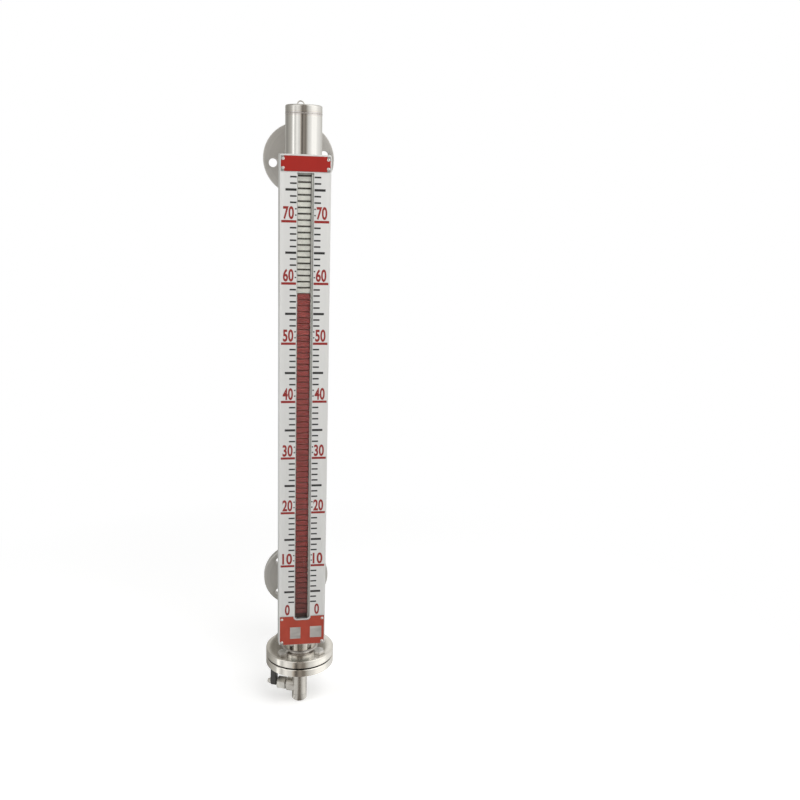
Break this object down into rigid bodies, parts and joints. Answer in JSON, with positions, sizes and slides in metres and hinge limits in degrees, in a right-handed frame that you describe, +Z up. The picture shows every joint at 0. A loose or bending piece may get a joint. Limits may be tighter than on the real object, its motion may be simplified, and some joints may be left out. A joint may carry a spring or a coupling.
{
  "type": "magnetic level gauge",
  "caption": "Magnetic level gauge: a tall float chamber with flanged side nozzles, a flap indicator behind a scale plate, and a drain valve under its bolted end flange.",
  "frame": {"origin": "centre of the lower process flange's sealing face, on the lower nozzle's axis", "axes": "+Z up along the chamber, +Y out of the process flanges towards the vessel, -Y the side that the indicator faces, +X to the right seen from the front"},
  "size_m": [0.125, 0.1975, 1.0853],
  "materials": {
    "polished_steel": "polished stainless steel",
    "turned_steel": "turned stainless steel",
    "housing_grey": "pale grey anodised",
    "plate_white": "satin off-white print",
    "plate_red": "satin red print",
    "rail_grey": "matte grey",
    "flap_red": "matte dark red",
    "flap_white": "matte off-white",
    "window_clear": "clear",
    "gasket_black": "matte black",
    "seal_white": "white sealing plastic",
    "magnet_grey": "dark grey sintered",
    "lever_black": "matte black"
  },
  "bodies": {
    "gauge": {"chamber_tube": "polished_steel", "top_cap": "polished_steel", "lifting_loop": "polished_steel", "upper_nozzle": "turned_steel", "upper_process_flange": "turned_steel", "lower_nozzle": "turned_steel", "lower_process_flange": "turned_steel", "chamber_flange": "turned_steel", "flange_gasket": "gasket_black", "blind_flange": "turned_steel", "flange_bolt_1": "turned_steel", "flange_bolt_2": "turned_steel", "flange_bolt_3": "turned_steel", "flange_bolt_4": "turned_steel", "lower_buffer_spring": "turned_steel", "upper_buffer_spring": "turned_steel", "indicator_housing": "housing_grey", "housing_top_cap": "housing_grey", "housing_bottom_cap": "housing_grey", "scale_plate": "plate_white", "window_glass": "window_clear", "top_nameplate": "plate_red", "bottom_nameplate": "plate_red", "flap_rail": "rail_grey", "clamp_band_1": "turned_steel", "clamp_band_2": "turned_steel", "clamp_band_3": "turned_steel", "clamp_screw_1": "turned_steel", "clamp_screw_2": "turned_steel", "clamp_screw_3": "turned_steel", "clamp_screw_4": "turned_steel", "clamp_screw_5": "turned_steel", "clamp_screw_6": "turned_steel", "drain_valve_body": "turned_steel", "drain_valve_end": "turned_steel", "drain_valve_seat_upper": "seal_white", "drain_valve_seat_lower": "seal_white", "drain_valve_packing": "seal_white", "drain_valve_gland_nut": "turned_steel"},
    "float": {"float_shell": "polished_steel", "float_dome": "polished_steel", "float_magnet": "magnet_grey"},
    "drain_valve_handle": {"drain_valve_ball": "polished_steel", "drain_valve_stem": "turned_steel", "drain_valve_lever": "lever_black", "drain_valve_lever_nut": "turned_steel"},
    "flap_51": {"flap_51": "flap_red"},
    "flap_52": {"flap_52": "flap_red"},
    "flap_53": {"flap_53": "flap_red"},
    "flap_54": {"flap_54": "flap_red"},
    "flap_55": {"flap_55": "flap_red"},
    "flap_56": {"flap_56": "flap_red"},
    "flap_57": {"flap_57": "flap_white"},
    "flap_58": {"flap_58": "flap_white"},
    "flap_59": {"flap_59": "flap_white"},
    "flap_60": {"flap_60": "flap_white"},
    "flap_61": {"flap_61": "flap_white"},
    "flap_62": {"flap_62": "flap_white"}
  },
  "joints": [
    {"name": "float_slide", "type": "slide", "parent": "gauge", "child": "float", "axis": [0, 0, 1], "range_m": [0, 0.7845]},
    {"name": "drain_lever_turn", "type": "hinge", "parent": "gauge", "child": "drain_valve_handle", "pos_m": [0, -0.135, -0.1691], "axis": [0.9272, -0.3746, 0], "range_deg": [0, 90]},
    {"name": "flap_51_turn", "type": "hinge", "parent": "gauge", "child": "flap_51", "pos_m": [-0.001, -0.1769, 0.527], "axis": [1, 0, 0], "range_deg": [0, 180]},
    {"name": "flap_52_turn", "type": "hinge", "parent": "gauge", "child": "flap_52", "pos_m": [-0.001, -0.1769, 0.537], "axis": [1, 0, 0], "range_deg": [0, 180]},
    {"name": "flap_53_turn", "type": "hinge", "parent": "gauge", "child": "flap_53", "pos_m": [-0.001, -0.1769, 0.547], "axis": [1, 0, 0], "range_deg": [0, 180]},
    {"name": "flap_54_turn", "type": "hinge", "parent": "gauge", "child": "flap_54", "pos_m": [-0.001, -0.1769, 0.557], "axis": [1, 0, 0], "range_deg": [0, 180]},
    {"name": "flap_55_turn", "type": "hinge", "parent": "gauge", "child": "flap_55", "pos_m": [-0.001, -0.1769, 0.567], "axis": [1, 0, 0], "range_deg": [0, 180]},
    {"name": "flap_56_turn", "type": "hinge", "parent": "gauge", "child": "flap_56", "pos_m": [-0.001, -0.1769, 0.577], "axis": [1, 0, 0], "range_deg": [0, 180]},
    {"name": "flap_57_turn", "type": "hinge", "parent": "gauge", "child": "flap_57", "pos_m": [-0.001, -0.1769, 0.587], "axis": [1, 0, 0], "range_deg": [-180, 0]},
    {"name": "flap_58_turn", "type": "hinge", "parent": "gauge", "child": "flap_58", "pos_m": [-0.001, -0.1769, 0.597], "axis": [1, 0, 0], "range_deg": [-180, 0]},
    {"name": "flap_59_turn", "type": "hinge", "parent": "gauge", "child": "flap_59", "pos_m": [-0.001, -0.1769, 0.607], "axis": [1, 0, 0], "range_deg": [-180, 0]},
    {"name": "flap_60_turn", "type": "hinge", "parent": "gauge", "child": "flap_60", "pos_m": [-0.001, -0.1769, 0.617], "axis": [1, 0, 0], "range_deg": [-180, 0]},
    {"name": "flap_61_turn", "type": "hinge", "parent": "gauge", "child": "flap_61", "pos_m": [-0.001, -0.1769, 0.627], "axis": [1, 0, 0], "range_deg": [-180, 0]},
    {"name": "flap_62_turn", "type": "hinge", "parent": "gauge", "child": "flap_62", "pos_m": [-0.001, -0.1769, 0.637], "axis": [1, 0, 0], "range_deg": [-180, 0]}
  ]
}
